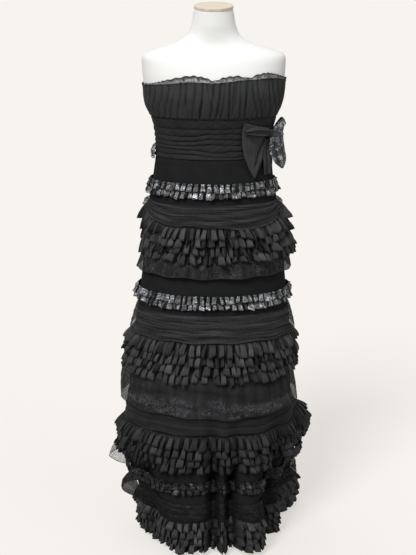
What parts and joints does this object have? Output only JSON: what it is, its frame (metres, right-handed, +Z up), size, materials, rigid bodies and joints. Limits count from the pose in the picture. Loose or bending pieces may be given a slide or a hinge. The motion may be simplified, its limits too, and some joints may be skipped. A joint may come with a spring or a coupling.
{
  "type": "strapless tiered evening gown on a limbless dress form",
  "caption": "Strapless A-line gown with a gathered bodice, a folded sash with a side bow, and tiers of ruffles, lace frills and net flounces, worn by a limbless dress form on a pole stand.",
  "frame": {"origin": "centre of the round base's underside, on the floor", "axes": "+Z up along the pole, -Y out of the gown's front, +X towards the wearer's left"},
  "size_m": [0.5594, 0.4557, 1.4715],
  "materials": {
    "jersey": "smooth white knitted cover of the dress form",
    "beech": "pale plywood with a clear satin coat",
    "steel": "brushed tube",
    "base_paint": "pale satin paint on steel",
    "chiffon": "matt black chiffon",
    "sash_chiffon": "black chiffon with a faint sheen",
    "skirt_cloth": "matt black skirt cloth",
    "taffeta": "black taffeta with a soft sheen",
    "net": "sheer black net",
    "dark_lace": "black lace on net",
    "frill_lace": "grey metallic lace",
    "bow_lace": "black lace with pale scrolls"
  },
  "bodies": {
    "root": {"form_torso": "jersey", "form_neck_cap": "beech", "form_pole": "steel", "form_base": "base_paint", "bodice_front": "chiffon", "bodice_back_left": "chiffon", "bodice_back_right": "chiffon", "neckline_frill": "frill_lace", "sash_front": "sash_chiffon", "sash_back_left": "sash_chiffon", "sash_back_right": "sash_chiffon", "skirt_front": "skirt_cloth", "skirt_back_left": "skirt_cloth", "skirt_back_right": "skirt_cloth", "ruffle_1a": "taffeta", "ruffle_1b": "taffeta", "ruffle_1c": "taffeta", "ruffle_2a": "taffeta", "ruffle_2b": "taffeta", "ruffle_2c": "taffeta", "ruffle_3a": "taffeta", "ruffle_3b": "taffeta", "ruffle_3c": "taffeta", "ruffle_4a": "taffeta", "ruffle_4b": "taffeta", "ruffle_4c": "taffeta", "lace_frill_1": "frill_lace", "lace_frill_2": "frill_lace", "lace_frill_3": "frill_lace", "net_flounce_1": "net", "net_flounce_2": "dark_lace", "net_flounce_3": "net", "net_flounce_4": "net", "net_flounce_5": "dark_lace", "lined_band": "chiffon", "bow_tail": "chiffon", "bow_under_tail": "sash_chiffon", "bow_loop": "chiffon", "bow_knot": "chiffon", "lace_tail": "bow_lace", "lace_loop": "bow_lace", "side_lace_tab": "bow_lace"}
  },
  "joints": []
}
